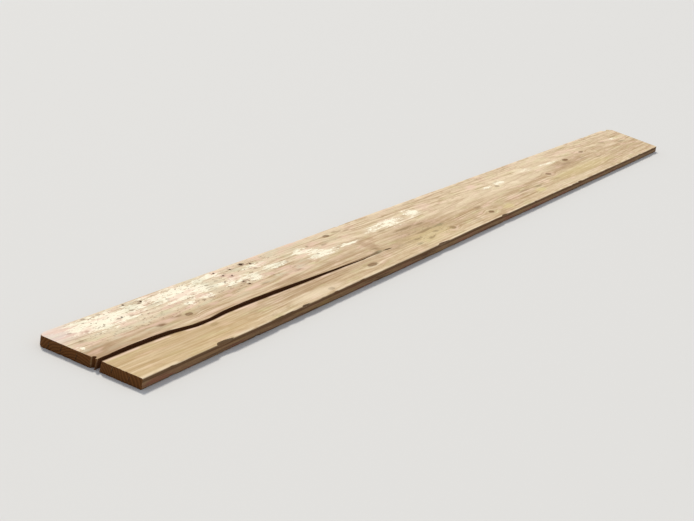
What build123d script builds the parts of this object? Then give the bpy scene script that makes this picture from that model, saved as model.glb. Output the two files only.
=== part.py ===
from build123d import *
from math import sqrt
import os

# A wide sawn board, weathered and split, lying on its underside.
# All sizes are millimetres. It is modelled with X running along the board from its
# near end, Y across it from its front edge and Z up from its underside, and is then
# moved so that the origin is under the middle of its box.

# Sawn board
length = 4200              # along the rear edge, before its far corner broke
width = 305
thickness = 28
end_skew = 140             # the far end is cut askew: the front edge is this much shorter
arris_wear = 3             # rounding of the four long arrises
end_wear = 1.5             # rounding of the arrises at both ends

# Worn near rear corner
worn_corner_along = 24
worn_corner_across = 16

# Broken far rear corner, with a splinter left standing in the break
broken_corner_along = 130
broken_corner_across = 36
splinter_height = 9
splinter_length = 40

# Split that runs in from the near end along the grain
split_length = 1250
split_from_front = 122     # from the front edge to its middle, at the near end
split_lean = 3             # how far it leans sideways through the thickness
# its path: each distance from the near end, how far it has wandered to the rear and how wide it gapes
split_path = [(0, 0, 13), (130, 1, 17), (255, -5, 16.5), (330, -17, 14), (400, -18, 12),
              (470, -13, 14.5), (600, -14, 18), (780, -21, 15.5), (1000, -29, 8), (1130, -35, 4)]
split_end_wander = -36
split_tip = 1              # how wide it still is where it closes

# Short check that opens again in line with the split
check_gap = 30             # wood left whole between the two
check_length = 50
check_width = 5
check_turn = -6            # degrees

# Notch in the end grain beside the split
notch_from_split = 18
notch_width = 12
notch_depth = 11

# Bolt hole right through the board
bolt_hole_diameter = 10
bolt_hole_from_end = 788
bolt_hole_from_rear = 20

# Nail holes, each by its distance from the near end and from the rear edge
nail_hole_diameter = 5
nail_hole_depth = 10
nail_holes = [(228, 57), (288, 10), (342, 22), (663, 15), (671, 42), (684, 100),
              (684, 122), (693, 57), (727, 25), (816, 32)]

# Chips off the front top arris, each by its middle's distance from the near end, length and depth
arris_chips = [(320, 90, 7), (690, 60, 4), (1555, 110, 5.5), (2080, 85, 6.5), (2900, 70, 4)]
chip_root = 0.2            # the share of a chip's length that it takes to reach its full depth

overrun = 5                # how far each cutter runs on past the board's faces


def through_cutter(face):
    """A cutter with the face's outline that runs straight through the board."""
    return Pos(0, 0, -overrun) * extrude(face, thickness + 2 * overrun)


def blank():
    """The sawn board: one worn section, cut off square at one end and askew at the other."""
    section = Plane.YZ * Pos(width / 2, thickness / 2) * RectangleRounded(width, thickness, arris_wear)
    solid = extrude(section, length)
    with BuildSketch() as waste:
        with BuildLine():
            Polyline(
                (length - end_skew * (1 + overrun / width), -overrun),
                (length + end_skew * overrun / width, width + overrun),
                (length + end_skew, width + overrun),
                (length + end_skew, -overrun),
                close=True,
            )
        make_face()
    solid -= through_cutter(waste.sketch)
    near_end = solid.faces().sort_by(Axis.X)[0]
    solid = fillet(near_end.edges(), end_wear)
    far_end = solid.faces().sort_by(Axis.X)[-1]
    return fillet(far_end.edges(), end_wear)


def worn_corner():
    """Cutter that rounds the near rear corner."""
    on_end = (0, width - worn_corner_across)
    on_bend = (worn_corner_along * 0.3, width - worn_corner_across * 0.3)
    on_rear = (worn_corner_along, width)
    with BuildSketch() as corner:
        with BuildLine():
            Spline(on_end, on_bend, on_rear)
            Polyline(
                on_rear,
                (worn_corner_along, width + overrun),
                (-overrun, width + overrun),
                (-overrun, on_end[1]),
                on_end,
            )
        make_face()
    return through_cutter(corner.sketch)


def broken_corner():
    """Cutter for the far rear corner: a ragged break with one splinter in it."""
    on_end = (length - end_skew * broken_corner_across / width, width - broken_corner_across)
    on_rear = (length - broken_corner_along, width)
    middle_x = (on_end[0] + on_rear[0]) / 2
    middle_y = (on_end[1] + on_rear[1]) / 2
    outside_x = length + end_skew
    with BuildSketch() as corner:
        with BuildLine():
            Polyline(
                (outside_x, on_end[1]),
                on_end,
                (middle_x + splinter_length / 2, middle_y + splinter_height),
                (middle_x - splinter_length / 2, middle_y - splinter_height / 2),
                on_rear,
                (on_rear[0], width + overrun),
                (outside_x, width + overrun),
                close=True,
            )
        make_face()
    return through_cutter(corner.sketch)


def split_sides():
    """The two sides of the split as points, from its mouth to its tip."""
    rear_side, front_side = [], []
    for from_end, wander, gape in split_path:
        if from_end < split_length:
            middle = split_from_front + wander
            rear_side.append((from_end, middle + gape / 2))
            front_side.append((from_end, middle - gape / 2))
    tip_middle = split_from_front + split_end_wander
    rear_side.append((split_length, tip_middle + split_tip / 2))
    front_side.append((split_length, tip_middle - split_tip / 2))
    return rear_side, front_side


def split():
    """Cutter for the split, which leans to one side on its way down."""
    rear_side, front_side = split_sides()
    outside_x = -overrun
    lean = split_lean / thickness
    with BuildSketch(Plane.XY.offset(thickness + overrun)) as gape:
        with BuildLine():
            Spline(*rear_side)
            Line(rear_side[-1], front_side[-1])
            Spline(*front_side)
            Polyline(
                front_side[0],
                (outside_x, front_side[0][1]),
                (outside_x, rear_side[0][1]),
                rear_side[0],
            )
        make_face()
    return extrude(gape.sketch, thickness + 2 * overrun, dir=(0, lean, -1))


def check():
    """Cutter for the short check: a lens in line with the end of the split."""
    half_length, half_width = check_length / 2, check_width / 2
    with BuildSketch() as lens:
        with BuildLine():
            ThreePointArc((-half_length, 0), (0, half_width), (half_length, 0))
            ThreePointArc((half_length, 0), (0, -half_width), (-half_length, 0))
        make_face()
    place = Pos(split_length + check_gap + half_length, split_from_front + split_end_wander)
    return place * Rot(0, 0, check_turn) * through_cutter(lens.sketch)


def end_notch():
    """Cutter for the notch in the near end, on the rear side of the split."""
    middle = split_from_front + notch_from_split
    with BuildSketch() as notch:
        with BuildLine():
            Polyline(
                (0, middle - notch_width / 2),
                (notch_depth, middle),
                (0, middle + notch_width / 2),
                (-notch_depth, middle),
                close=True,
            )
        make_face()
    return through_cutter(notch.sketch)


def hole(diameter, depth, from_end, from_rear):
    """Cutter for a round hole sunk from the top face."""
    bit = Cylinder(diameter / 2, depth + overrun, align=(Align.CENTER, Align.CENTER, Align.MIN))
    return Pos(from_end, width - from_rear, thickness - depth) * bit


def arris_chip(from_end, chip_length, chip_depth):
    """Cutter for a chip split off the front top arris: steep at its near side, then running out."""
    root = (chip_length * chip_root, chip_depth)
    half_way = ((root[0] + chip_length) / 2, chip_depth * sqrt(0.5))
    with BuildSketch() as chip:
        with BuildLine():
            ThreePointArc(root, half_way, (chip_length, 0))
            Polyline((chip_length, 0), (chip_length, -overrun), (0, -overrun), (0, 0), root)
        make_face()
    bar = extrude(chip.sketch, 2 * thickness, both=True)
    return Pos(from_end - chip_length / 2, 0, thickness) * Rot(X=-45) * bar


def plank():
    """The whole board, moved so that its origin is under the middle of its box."""
    cutters = [worn_corner(), broken_corner(), split(), check(), end_notch()]
    cutters.append(hole(bolt_hole_diameter, thickness + overrun, bolt_hole_from_end, bolt_hole_from_rear))
    cutters += [hole(nail_hole_diameter, nail_hole_depth, *place) for place in nail_holes]
    cutters += [arris_chip(*chip) for chip in arris_chips]
    solid = blank()
    for cutter in cutters:
        solid -= cutter
    box = solid.bounding_box()
    return Pos(-box.center().X, -box.center().Y, -box.min.Z) * solid


os.makedirs("parts", exist_ok=True)
export_step(plank(), "parts/plank.step")
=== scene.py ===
"""A weathered, split board: its timber in full detail, its finish and the studio it lies in."""

import logging
import math
import random
from dataclasses import dataclass
from enum import Enum
from typing import Callable, Iterable, Sequence, Union

import bmesh
import bpy
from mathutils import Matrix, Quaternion, Vector
from mathutils.kdtree import KDTree


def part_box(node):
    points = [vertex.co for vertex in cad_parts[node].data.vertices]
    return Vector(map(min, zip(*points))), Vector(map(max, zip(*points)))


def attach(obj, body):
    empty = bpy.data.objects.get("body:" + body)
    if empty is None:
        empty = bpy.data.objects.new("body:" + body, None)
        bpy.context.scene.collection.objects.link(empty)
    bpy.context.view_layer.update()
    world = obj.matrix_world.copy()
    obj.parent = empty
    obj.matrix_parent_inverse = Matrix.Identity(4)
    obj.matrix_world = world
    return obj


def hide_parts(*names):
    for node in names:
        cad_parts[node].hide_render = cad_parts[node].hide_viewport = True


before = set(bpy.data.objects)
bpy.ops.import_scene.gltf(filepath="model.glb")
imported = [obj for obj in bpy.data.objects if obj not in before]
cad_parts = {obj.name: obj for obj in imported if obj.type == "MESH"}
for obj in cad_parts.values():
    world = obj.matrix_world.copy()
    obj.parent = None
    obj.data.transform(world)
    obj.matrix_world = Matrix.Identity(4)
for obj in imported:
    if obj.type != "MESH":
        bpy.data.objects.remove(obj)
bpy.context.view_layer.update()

LOG = logging.getLogger("plank")
MM = 0.001
NEAR = 0.05 * MM  # two places that lie nearer than this are one


class Element(Enum):
    """The kinds of mesh element that a selection can pick, with Blender's name for the mode."""

    VERTEX = ("verts", "VERT")
    EDGE = ("edges", "EDGE")
    FACE = ("faces", "FACE")


@dataclass(frozen=True)
class Lie:
    """Where the board lies, as millimetres from its near end, front edge and underside.

    Args:
        low: The lowest corner of the board's box, in metres.
        high: The highest corner of the board's box, in metres.
    """

    low: Vector
    high: Vector

    @property
    def width(self) -> float:
        """The board's width in millimetres."""
        return (self.high.y - self.low.y) / MM

    @property
    def thickness(self) -> float:
        """The board's thickness in millimetres."""
        return (self.high.z - self.low.z) / MM

    def at(self, along: float, across: float, up: float) -> Vector:
        """The place, in metres, of a point given in millimetres of the board."""
        return self.low + Vector((along, across, up)) * MM


class Bench:
    """The hand tools: selecting, cutting, pushing and finishing meshes one step at a time."""

    @staticmethod
    def clear() -> None:
        """Leaves edit mode and deselects everything."""
        if bpy.context.mode != "OBJECT":
            bpy.ops.object.mode_set(mode="OBJECT")
        bpy.ops.object.select_all(action="DESELECT")

    @staticmethod
    def take(piece: bpy.types.Object) -> None:
        """Selects one object and makes it the active one.

        Args:
            piece: The object.
        """
        Bench.clear()
        piece.select_set(True)
        bpy.context.view_layer.objects.active = piece

    @staticmethod
    def open(piece: bpy.types.Object) -> None:
        """Takes a piece into edit mode with all of it selected.

        Args:
            piece: The object.
        """
        Bench.take(piece)
        bpy.ops.object.mode_set(mode="EDIT")
        bpy.ops.mesh.select_all(action="SELECT")

    @staticmethod
    def settle(piece: bpy.types.Object, name: str) -> bpy.types.Object:
        """Names a new primitive and moves its place, turn and size into its mesh.

        Args:
            piece: The primitive.
            name: Its new name.

        Returns:
            The same object.
        """
        piece.name = name
        Bench.take(piece)
        bpy.ops.object.transform_apply(location=True, rotation=True, scale=True)
        return piece

    @staticmethod
    def block(name: str, low: Vector, high: Vector, roll: float = 0.0) -> bpy.types.Object:
        """Adds a cube that fills a box.

        Args:
            name: The new object's name.
            low: The box's lowest corner.
            high: The box's highest corner.
            roll: How far the box is turned about its own long axis, in radians.

        Returns:
            The block.
        """
        Bench.clear()
        bpy.ops.mesh.primitive_cube_add(
            size=1, location=(low + high) / 2, rotation=(roll, 0, 0), scale=high - low
        )
        return Bench.settle(bpy.context.active_object, name)

    @staticmethod
    def drum(name: str, radius: float, low: Vector, high: Vector, sides: int) -> bpy.types.Object:
        """Adds a cylinder between two points.

        Args:
            name: The new object's name.
            radius: The cylinder's radius.
            low: The middle of its lower end.
            high: The middle of its upper end.
            sides: How many sides it has.

        Returns:
            The cylinder.
        """
        Bench.clear()
        bpy.ops.mesh.primitive_cylinder_add(
            vertices=sides,
            radius=radius,
            depth=(high - low).length,
            location=(low + high) / 2,
            rotation=(high - low).to_track_quat("Z", "Y").to_euler(),
        )
        return Bench.settle(bpy.context.active_object, name)

    @staticmethod
    def pick(piece: bpy.types.Object, kind: Element, test: Callable[..., bool]) -> int:
        """Selects, in edit mode, the elements that pass a test.

        Args:
            piece: The object being edited.
            kind: What is selected.
            test: Says whether one mesh element belongs to the selection.

        Returns:
            How many elements were selected.
        """
        layer, mode = kind.value
        bpy.ops.mesh.select_mode(type=mode)
        bpy.ops.mesh.select_all(action="DESELECT")
        mesh = bmesh.from_edit_mesh(piece.data)
        chosen = [part for part in getattr(mesh, layer) if test(part)]
        for part in chosen:
            part.select_set(True)
        mesh.select_flush_mode()
        bmesh.update_edit_mesh(piece.data)
        return len(chosen)

    @staticmethod
    def slice(axis: Vector, places: Iterable[Vector]) -> None:
        """Cuts a loop of edges round the whole piece at each place.

        Args:
            axis: The direction that each cut is square to.
            places: One point of each cut.
        """
        for place in places:
            bpy.ops.mesh.select_all(action="SELECT")
            bpy.ops.mesh.bisect(plane_co=place, plane_no=axis)

    @staticmethod
    def shave(place: Vector, outward: Vector) -> None:
        """Cuts away all that lies beyond a plane and closes the cut."""
        bpy.ops.mesh.select_all(action="SELECT")
        bpy.ops.mesh.bisect(plane_co=place, plane_no=outward, clear_outer=True, use_fill=True)

    @staticmethod
    def finish(piece: bpy.types.Object, kind: str, **settings: object) -> None:
        """Adds one modifier with its settings and applies it.

        Args:
            piece: The object that it changes.
            kind: The modifier's type.
            **settings: Its settings, by name.
        """
        Bench.take(piece)
        modifier = piece.modifiers.new(kind.title(), kind)
        for name, value in settings.items():
            setattr(modifier, name, value)
        bpy.ops.object.modifier_apply(modifier=modifier.name)

    @staticmethod
    def face_outwards(piece: bpy.types.Object) -> None:
        """Turns every face of a closed piece outwards.

        Args:
            piece: The object.
        """
        Bench.open(piece)
        bpy.ops.mesh.normals_make_consistent(inside=False)
        Bench.clear()

    @staticmethod
    def join(pieces: Sequence[bpy.types.Object]) -> bpy.types.Object:
        """Joins pieces into the first of them.

        Args:
            pieces: The objects.

        Returns:
            The first object, which now holds them all.
        """
        Bench.take(pieces[0])
        for piece in pieces[1:]:
            piece.select_set(True)
        bpy.ops.object.join()
        return bpy.context.active_object

    @staticmethod
    def cut(piece: bpy.types.Object, cutter: bpy.types.Object) -> None:
        """Takes a cutter's shape out of a piece and throws the cutter away.

        Args:
            piece: The object that loses wood.
            cutter: The closed shape that is taken out of it.
        """
        Bench.face_outwards(cutter)
        Bench.finish(piece, "BOOLEAN", operation="DIFFERENCE", solver="MANIFOLD", object=cutter)
        data = cutter.data
        bpy.data.objects.remove(cutter)
        bpy.data.meshes.remove(data)


class Heading(Enum):
    """The direction in which a roughness moves a surface."""

    NORMAL = "NORMAL"
    ACROSS = "Y"


@dataclass(frozen=True)
class Roughness:
    """A roughness of the wood's surface, made of noise that is drawn out along the grain.

    Args:
        name: What the roughness is called.
        grain: The size of its marks along, across and up through the board, in millimetres.
        depth: How far it moves the surface at most, in millimetres; negative goes inwards.
        heading: The direction in which it moves the surface.
        middle: The noise value that leaves the surface where it is.
        contrast: How hard the noise is.
        level: How high the noise stands; below 1, its lowest parts are cut off flat.
        octaves: How many finer layers of noise it has.
        group: The vertex group that it is kept to.
    """

    name: str
    grain: tuple[float, float, float]
    depth: float
    heading: Heading = Heading.NORMAL
    middle: float = 0.0
    contrast: float = 1.0
    level: float = 1.0
    octaves: int = 2
    group: str = ""

    def apply(self, piece: bpy.types.Object) -> None:
        """Roughens a piece.

        Args:
            piece: The object whose surface is moved.
        """
        texture = bpy.data.textures.new(self.name, "CLOUDS")
        texture.noise_scale = 1.0
        texture.noise_depth = self.octaves
        texture.noise_basis = "IMPROVED_PERLIN"
        texture.contrast = self.contrast
        texture.intensity = self.level
        texture.use_clamp = True
        Bench.clear()
        bpy.ops.object.empty_add(type="PLAIN_AXES")
        spread = bpy.context.active_object
        spread.scale = Vector(self.grain) * MM
        bpy.context.view_layer.update()
        Bench.finish(
            piece,
            "DISPLACE",
            texture=texture,
            texture_coords="OBJECT",
            texture_coords_object=spread,
            direction=self.heading.value,
            mid_level=self.middle,
            strength=self.depth * MM,
            vertex_group=self.group,
        )
        bpy.data.objects.remove(spread)
        bpy.data.textures.remove(texture)


@dataclass
class Run:
    """A cutter that runs along the grain: a block whose end is extruded on step by step.

    Args:
        lie: Where the board lies.
        name: What the cutter is called.
        start: Where it begins, in millimetres from the near end.
        length: How far it runs.
        middle: The place of its middle, across and up, at each distance from its start.
        gape: Its width at each distance from its start.
        height: How tall it is.
        levels: Into how many levels its height is cut.
        step: The length of one extrusion.
        foot: The width of its lower edge as a share of its upper edge's.
        lean: How far its lower edge stands to the rear of its upper edge.
        roll: How far it is turned about the grain, in radians.
    """

    lie: Lie
    name: str
    start: float
    length: float
    middle: Callable[[float], tuple[float, float]]
    gape: Callable[[float], float]
    height: float
    levels: int = 1
    step: float = 10.0
    foot: float = 1.0
    lean: float = 0.0
    roll: float = 0.0

    def build(self) -> bpy.types.Object:
        """Builds the cutter.

        Returns:
            The closed cutter, standing where it cuts.
        """
        across, up = self.middle(0)
        half = Vector((0, self.gape(0) / 2, self.height / 2))
        here = Vector((self.start, across, up))
        low, high = here - half, here + half + Vector((self.step, 0, 0))
        piece = Bench.block(self.name, self.lie.at(*low), self.lie.at(*high), self.roll)
        Bench.open(piece)
        if self.foot != 1.0:
            bottom = self.lie.at(*low).z
            Bench.pick(piece, Element.VERTEX, lambda v: v.co.z < bottom + NEAR)
            bpy.ops.transform.resize(value=(1, self.foot, 1), center_override=self.lie.at(*here))
        spacing = self.height / self.levels
        upward = Vector((0, -math.sin(self.roll), math.cos(self.roll)))
        cuts = [here + upward * (spacing * n - self.height / 2) for n in range(1, self.levels)]
        Bench.slice(upward, [self.lie.at(*cut) for cut in cuts])
        self._extrude(piece)
        if self.lean:
            self._lean(piece, low.z)
        return piece

    def _extrude(self, piece: bpy.types.Object) -> None:
        """Moves the far end on to the path, then extrudes it along, narrower or wider at each step.

        Args:
            piece: The cutter, in edit mode.
        """
        reach = self.lie.at(self.start + self.step, 0, 0).x
        Bench.pick(piece, Element.FACE, lambda f: f.calc_center_median().x > reach - NEAR)
        for number in range(round(self.length / self.step)):
            here, there = number * self.step, (number + 1) * self.step
            aside = Vector((0, *self.middle(there))) - Vector((0, *self.middle(here)))
            if number == 0:
                bpy.ops.transform.translate(value=aside * MM)
            else:
                move = aside + Vector((self.step, 0, 0))
                bpy.ops.mesh.extrude_region_move(TRANSFORM_OT_translate={"value": move * MM})
            ratio = self.gape(there) / self.gape(here)
            if not math.isclose(ratio, 1):
                pivot = self.lie.at(self.start + there, *self.middle(there))
                bpy.ops.transform.resize(value=(1, ratio, 1), center_override=pivot)

    def _lean(self, piece: bpy.types.Object, bottom: float) -> None:
        """Pushes each level sideways, so that the cutter leans over.

        Args:
            piece: The cutter, in edit mode.
            bottom: The height of its lower edge, in millimetres.
        """
        for level in range(self.levels):
            height = self.lie.at(0, 0, bottom + self.height * level / self.levels).z
            share = 1 - level / self.levels
            Bench.pick(piece, Element.VERTEX, lambda v: abs(v.co.z - height) < NEAR)
            bpy.ops.transform.translate(value=(0, self.lean * share * MM, 0))


@dataclass
class Splits:
    """The openings that run with the grain: the long split, its check, and drying checks.

    All sizes are in millimetres.

    Args:
        lie: Where the board lies.
        length: The split's length.
        from_front: How far from the front edge it starts, at the near end.
        lean: How far it leans to the rear through the thickness.
        path: Its distance from the near end, how far it has wandered to the rear, and its width.
        check_gap: The whole wood between the split and the check beyond it.
        check_length: The check's length.
        check_width: Its width at its middle.
        check_tip: Its width at its ends.
        check_turn: How far it is turned from the grain, in radians.
        end_cracks: Each one's distance from the front edge, its middle's height and its length inwards.
        end_crack_width: How wide they are at the end of the board.
        underside_lanes: How many lanes the underside has; one that would meet the split stays empty.
        underside_reach: Where the check in a lane may begin, from the near end.
        underside_length: The least and the greatest length of such a check.
        underside_width: The least and the greatest width of such a check, at its middle.
        underside_slope: How far it may stray from the grain with each millimetre of its length.
        split_clearance: How far it keeps away from the split.
        hair: The width of a drying check where it closes.
        overrun: How far a cutter stands out of the board.
        torn: The torn surface of the split's walls.
    """

    lie: Lie
    length: float = 1250.0
    from_front: float = 122.0
    lean: float = 3.0
    path: tuple[tuple[float, float, float], ...] = (
        (0, 0, 13), (130, 1, 17), (255, -5, 16.5), (330, -17, 14), (400, -18, 12), (470, -13, 14.5),
        (600, -14, 18), (780, -21, 15.5), (1000, -29, 8), (1130, -35, 4), (1250, -36, 1),
    )
    check_gap: float = 30.0
    check_length: float = 50.0
    check_width: float = 5.0
    check_tip: float = 0.3
    check_turn: float = -0.105
    end_cracks: tuple[tuple[float, float, float], ...] = (
        (36, 12, 26), (84, 17, 18), (186, 13, 34), (231, 16, 20), (268, 11, 24),
    )
    end_crack_width: float = 1.5
    underside_lanes: int = 6
    underside_reach: tuple[float, float] = (80, 3700)
    underside_length: tuple[float, float] = (90, 240)
    underside_width: tuple[float, float] = (1.1, 1.7)
    underside_slope: float = 0.015
    split_clearance: float = 16.0
    hair: float = 0.1
    overrun: float = 5.0
    torn: Roughness = Roughness("torn", (34, 5, 5), 1.5, Heading.ACROSS, middle=0.5, octaves=3)

    def drift(self, along: float) -> float:
        """How far the split has wandered to the rear at a distance from the near end."""
        return self._blend(along, 1)

    def gape(self, along: float) -> float:
        """How wide the split is at a distance from the near end."""
        return self._blend(along, 2)

    def _blend(self, along: float, kind: int) -> float:
        """A smooth curve through one of the numbers that the path's points hold.

        Args:
            along: The distance from the near end.
            kind: Which number of each point it is.

        Returns:
            The number there.
        """
        points = self.path
        after = next((n for n, point in enumerate(points) if point[0] >= along), len(points) - 1)
        after = max(after, 1)
        start, end = points[after - 1], points[after]
        span = end[0] - start[0]
        rise = end[kind] - start[kind]
        share = min(max((along - start[0]) / span, 0.0), 1.0)
        leaving = self._slope(after - 1, kind) * span
        arriving = self._slope(after, kind) * span
        bend = (1 - share) * (leaving - rise) + share * (rise - arriving)
        return start[kind] + rise * share + share * (1 - share) * bend

    def _slope(self, number: int, kind: int) -> float:
        """The slope of that curve at one of the path's points.

        Args:
            number: Which point it is.
            kind: Which number of each point it is.

        Returns:
            How much the number grows with each millimetre.
        """
        points = self.path
        before, after = points[max(number - 1, 0)], points[min(number + 1, len(points) - 1)]
        return (after[kind] - before[kind]) / (after[0] - before[0])

    @staticmethod
    def _lens(run: float, length: float) -> float:
        """The width of a lens along its length, as a share of its greatest width."""
        return max(1 - (2 * run / length - 1) ** 2, 0)

    def split(self) -> bpy.types.Object:
        """Builds the long split's cutter, with torn walls.

        Returns:
            The cutter.
        """
        height = self.lie.thickness + 2 * self.overrun
        middle_up = self.lie.thickness / 2
        cutter = Run(
            self.lie,
            "split",
            start=-self.overrun,
            length=self.length + self.overrun,
            middle=lambda run: (self.from_front + self.drift(run - self.overrun), middle_up),
            gape=lambda run: self.gape(run - self.overrun),
            height=height,
            levels=9,
            step=6.0,
            lean=self.lean * height / self.lie.thickness,
        ).build()
        self.torn.apply(cutter)
        return cutter

    def check(self) -> bpy.types.Object:
        """Returns:
            The cutter.
        """
        start = self.length + self.check_gap
        across = self.from_front + self.drift(self.length)
        half = self.check_length / 2
        cutter = Run(
            self.lie,
            "check",
            start=start,
            length=self.check_length,
            middle=lambda run: (across + (run - half) * math.tan(self.check_turn), self.lie.thickness / 2),
            gape=lambda run: self.check_tip + self.check_width * self._lens(run, self.check_length),
            height=self.lie.thickness + 2 * self.overrun,
            levels=8,
            step=2.5,
        ).build()
        self.torn.apply(cutter)
        return cutter

    def hairline(self, start: float, across: float, length: float, width: float,
                 slope: float) -> bpy.types.Object:
        """Builds the cutter for one shallow drying check in the underside.

        Args:
            start: Where it begins, from the near end.
            across: Where its middle lies, from the front edge.
            length: How long it is.
            width: How wide it gapes at its middle.
            slope: How far it runs askew to the board, in millimetres a millimetre.

        Returns:
            The cutter.
        """
        return Run(
            self.lie,
            "hairline",
            start=start,
            length=length,
            middle=lambda run: (across + slope * run + 0.8 * math.sin(run / 22), 0.0),
            gape=lambda run: self.hair + width * self._lens(run, length),
            height=8.0,
            step=length / 16,
            foot=2.0,
        ).build()

    def hairlines(self, seed: int) -> bpy.types.Object:
        """Builds the cutters for the drying checks of the underside, each in its own lane.

        Args:
            seed: What the draws start from.

        Returns:
            All the cutters as one mesh.
        """
        draw = random.Random(seed)
        opened = self.length + self.check_gap + self.check_length
        lane = self.lie.width / (self.underside_lanes + 1)
        cutters = []
        for number in range(self.underside_lanes):
            across = lane * (number + 0.7 + 0.6 * draw.random())
            start = draw.uniform(*self.underside_reach)
            length = draw.uniform(*self.underside_length)
            width = draw.uniform(*self.underside_width)
            slope = draw.uniform(-self.underside_slope, self.underside_slope)
            aside = abs(across - self.from_front - self.drift(start))
            if aside >= self.split_clearance or start >= opened:
                cutters.append(self.hairline(start, across, length, width, slope))
        return Bench.join(cutters)

    def end_checks(self) -> bpy.types.Object:
        """Builds the cutters for the cracks that drying has opened in the near end, as one mesh."""
        return Bench.join([self.end_check(*crack) for crack in self.end_cracks])

    def end_check(self, across: float, up: float, depth: float) -> bpy.types.Object:
        """Builds the cutter for one of those cracks, widest where it comes out of the board.

        Args:
            across: Its distance from the front edge.
            up: The height of its middle.
            depth: Its length inwards.

        Returns:
            The cutter.
        """
        outside = 2.0
        length = depth + outside
        return Run(
            self.lie,
            "end_check",
            start=-outside,
            length=length,
            middle=lambda run: (across + 0.5 * math.sin(run / 5), up),
            gape=lambda run: self.hair + self.end_crack_width * max(1 - run / length, 0),
            height=15.0,
            levels=4,
            step=length / 8,
            lean=3.0,
        ).build()


@dataclass
class Holes:
    """The bolt hole through the board, the nail holes in its top and the notch in its end.

    All sizes are in millimetres.

    Args:
        lie: Where the board lies.
        overrun: How far a cutter stands out of the board.
        bolt_hole_diameter: The bolt hole's diameter.
        bolt_hole: Its distances from the near end and from the rear edge.
        nail_hole_diameter: The nail holes' diameter.
        nail_hole_depth: How deep they are.
        nail_holes: Each one's distances from the near end and from the rear edge.
        notch: The notch's distance from the front edge, its width and its depth.
        bruise: How deep the bruised rim of a hole reaches.
        bruise_spread: How much wider the rim is than the hole, along and across the board.
        worn: The worn wall of a hole.
        torn: The torn wall of the notch.
    """

    lie: Lie
    overrun: float = 5.0
    bolt_hole_diameter: float = 10.0
    bolt_hole: tuple[float, float] = (788, 20)
    nail_hole_diameter: float = 5.0
    nail_hole_depth: float = 10.0
    nail_holes: tuple[tuple[float, float], ...] = (
        (228, 57), (288, 10), (342, 22), (663, 15), (671, 42),
        (684, 100), (684, 122), (693, 57), (727, 25), (816, 32),
    )
    notch: tuple[float, float, float] = (140.0, 12.0, 11.0)
    bruise: float = 1.5
    bruise_spread: tuple[float, float] = (1.45, 1.2)
    worn: Roughness = Roughness("worn_hole", (5, 2.5, 6), 0.5, middle=0.5)
    torn: Roughness = Roughness("torn_notch", (9, 3, 7), 2.2, middle=0.5)

    def bore(self, name: str, diameter: float, depth: float, place: tuple[float, float],
             sides: int) -> bpy.types.Object:
        """Builds the cutter for a round hole whose rim is bruised outwards.

        Args:
            name: What it is called.
            diameter: The hole's diameter.
            depth: How deep it is, from the top face.
            place: Its distances from the near end and from the rear edge.
            sides: How many sides it has.

        Returns:
            The cutter.
        """
        along, across = place[0], self.lie.width - place[1]
        top = self.lie.thickness
        bottom = self.lie.at(along, across, top - depth)
        mouth = self.lie.at(along, across, top + self.overrun)
        piece = Bench.drum(name, diameter / 2 * MM, bottom, mouth, sides)
        Bench.open(piece)
        levels = (top - self.bruise, top, top - depth / 2)
        Bench.slice(Vector((0, 0, 1)), [self.lie.at(0, 0, level) for level in levels])
        rim = self.lie.at(0, 0, top - 0.5 * self.bruise).z
        Bench.pick(piece, Element.VERTEX, lambda v: v.co.z > rim)
        middle = self.lie.at(along, across, top)
        bpy.ops.transform.resize(value=(*self.bruise_spread, 1), center_override=middle)
        self.worn.apply(piece)
        return piece

    def end_notch(self) -> bpy.types.Object:
        """Builds the cutter for the notch in the near end: a bar that is deeper than it is wide.

        Returns:
            The cutter.
        """
        across, width, depth = self.notch
        low = self.lie.at(0, across, -self.overrun)
        high = self.lie.at(0, across, self.lie.thickness + self.overrun)
        piece = Bench.drum("end_notch", width / 2 * MM, low, high, 8)
        Bench.open(piece)
        bpy.ops.transform.resize(value=(2 * depth / width, 1, 1), center_override=self.lie.at(0, across, 0))
        levels = 6
        spacing = self.lie.thickness / levels
        Bench.slice(Vector((0, 0, 1)), [self.lie.at(0, 0, spacing * n) for n in range(1, levels)])
        self.torn.apply(piece)
        return piece

    def all(self) -> list[bpy.types.Object]:
        """Builds every hole's cutter.

        Returns:
            The cutters, the nail holes' as one mesh.
        """
        through = self.lie.thickness + self.overrun
        bolt = self.bore("bolt_hole", self.bolt_hole_diameter, through, self.bolt_hole, 32)
        nails = [
            self.bore("nail_hole", self.nail_hole_diameter, self.nail_hole_depth, place, 18)
            for place in self.nail_holes
        ]
        return [bolt, Bench.join(nails), self.end_notch()]


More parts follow.
